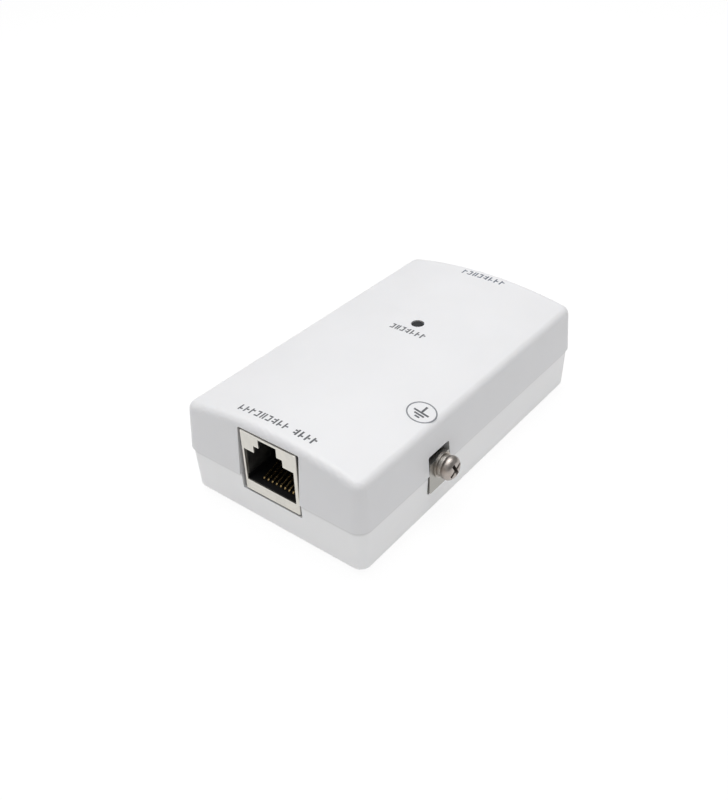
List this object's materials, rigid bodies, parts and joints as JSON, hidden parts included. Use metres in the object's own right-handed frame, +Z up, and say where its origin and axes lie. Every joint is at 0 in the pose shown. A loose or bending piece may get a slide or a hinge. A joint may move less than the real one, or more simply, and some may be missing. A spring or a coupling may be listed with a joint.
{
  "type": "network power injector",
  "caption": "Small two-shell network power injector with a shielded jack at each end, a round power inlet, an earth screw terminal and a status light under a crowned roof.",
  "frame": {"origin": "centre of the bottom cover's underside; the feet stand 0.6 mm below it", "axes": "+Z up; +Y along the length, from the powered output jack at -Y to the data input jack at +Y; +X towards the earth screw's flank"},
  "size_m": [0.0462, 0.075, 0.0224],
  "materials": {
    "case_plastic_top": "fine satin moulding, off-white",
    "case_plastic_bottom": "fine satin moulding, off-white",
    "screw_steel": "black zinc",
    "foot_rubber": "matte",
    "label_film": "satin film",
    "board_laminate": "solder mask",
    "jack_shield_metal": "nickel-plated sheet",
    "jack_plastic": "moulded black",
    "contact_gold": "gold-plated wire",
    "inlet_plastic": "moulded black",
    "inlet_nickel": "nickel plate",
    "tinned_steel": "tinned",
    "bracket_nickel": "nickel-plated sheet",
    "washer_nickel": "nickel plate",
    "earth_screw_metal": "nickel plate, bright",
    "led_epoxy": "diffused epoxy",
    "light_pipe_acrylic": "smoked acrylic",
    "chip_epoxy": "moulded epoxy",
    "capacitor_aluminium": "drawn can",
    "capacitor_film": "shrink sleeve",
    "choke_ferrite": "ferrite",
    "enamelled_copper": "enamelled copper wire",
    "disc_ceramic_coat": "dipped coat",
    "fuse_ceramic": "ceramic tube",
    "chip_ceramic": "multilayer ceramic"
  },
  "bodies": {
    "case": {"top_cover": "case_plastic_top", "bottom_cover": "case_plastic_bottom", "case_screws": "screw_steel", "rubber_feet": "foot_rubber", "rating_label": "label_film", "circuit_board": "board_laminate", "out_jack_shield": "jack_shield_metal", "out_jack_housing": "jack_plastic", "out_jack_terminals": "contact_gold", "in_jack_shield": "jack_shield_metal", "in_jack_housing": "jack_plastic", "in_jack_terminals": "contact_gold", "dc_jack_body": "inlet_plastic", "dc_jack_pin": "inlet_nickel", "dc_jack_sleeve_terminal": "inlet_nickel", "dc_jack_staples": "tinned_steel", "ground_bracket": "bracket_nickel", "status_led": "led_epoxy", "status_led_leads": "tinned_steel", "light_pipe": "light_pipe_acrylic", "lan_transformer": "chip_epoxy", "lan_transformer_leads": "tinned_steel", "power_controller": "chip_epoxy", "power_controller_leads": "tinned_steel", "switch_transistor": "chip_epoxy", "switch_transistor_leads": "tinned_steel", "capacitor_can": "capacitor_aluminium", "capacitor_sleeve": "capacitor_film", "capacitor_leads": "tinned_steel", "choke_core": "choke_ferrite", "choke_windings": "enamelled_copper", "safety_capacitor": "disc_ceramic_coat", "safety_capacitor_leads": "tinned_steel", "fuse": "fuse_ceramic", "fuse_caps": "tinned_steel", "surge_diode": "chip_epoxy", "surge_diode_leads": "tinned_steel", "power_inductor": "choke_ferrite", "power_inductor_pads": "tinned_steel", "sense_resistor": "chip_epoxy", "chip_resistors": "chip_epoxy", "chip_capacitors": "chip_ceramic"},
    "ground_washers": {"ground_washers": "washer_nickel"},
    "ground_screw": {"ground_screw": "earth_screw_metal"},
    "out_jack_springs": {"out_jack_springs": "contact_gold"},
    "in_jack_springs": {"in_jack_springs": "contact_gold"},
    "dc_jack_leaf": {"dc_jack_leaf": "inlet_nickel"}
  },
  "joints": [
    {"name": "ground_washer_slide", "type": "slide", "parent": "case", "child": "ground_washers", "axis": [1, 0, 0], "range_m": [0, 0.0027]},
    {"name": "ground_screw_turn", "type": "hinge", "parent": "ground_washers", "child": "ground_screw", "pos_m": [0.0214, -0.014, 0.0102], "axis": [1, 0, 0], "range_deg": [0, 2160]},
    {"name": "out_spring_flex", "type": "hinge", "parent": "case", "child": "out_jack_springs", "pos_m": [0.00025, -0.0346, 0.00855], "axis": [-1, 0, 0], "range_deg": [0, 12]},
    {"name": "in_spring_flex", "type": "hinge", "parent": "case", "child": "in_jack_springs", "pos_m": [-0.00025, 0.0346, 0.00855], "axis": [1, 0, 0], "range_deg": [0, 12]},
    {"name": "inlet_leaf_flex", "type": "hinge", "parent": "case", "child": "dc_jack_leaf", "pos_m": [-0.0099, 0.013, 0.0096], "axis": [0, -1, 0], "range_deg": [0, 3]}
  ],
  "couplings": [
    {"joint": "ground_screw_turn", "follows": "ground_washer_slide", "rad_per_m": 13963}
  ]
}
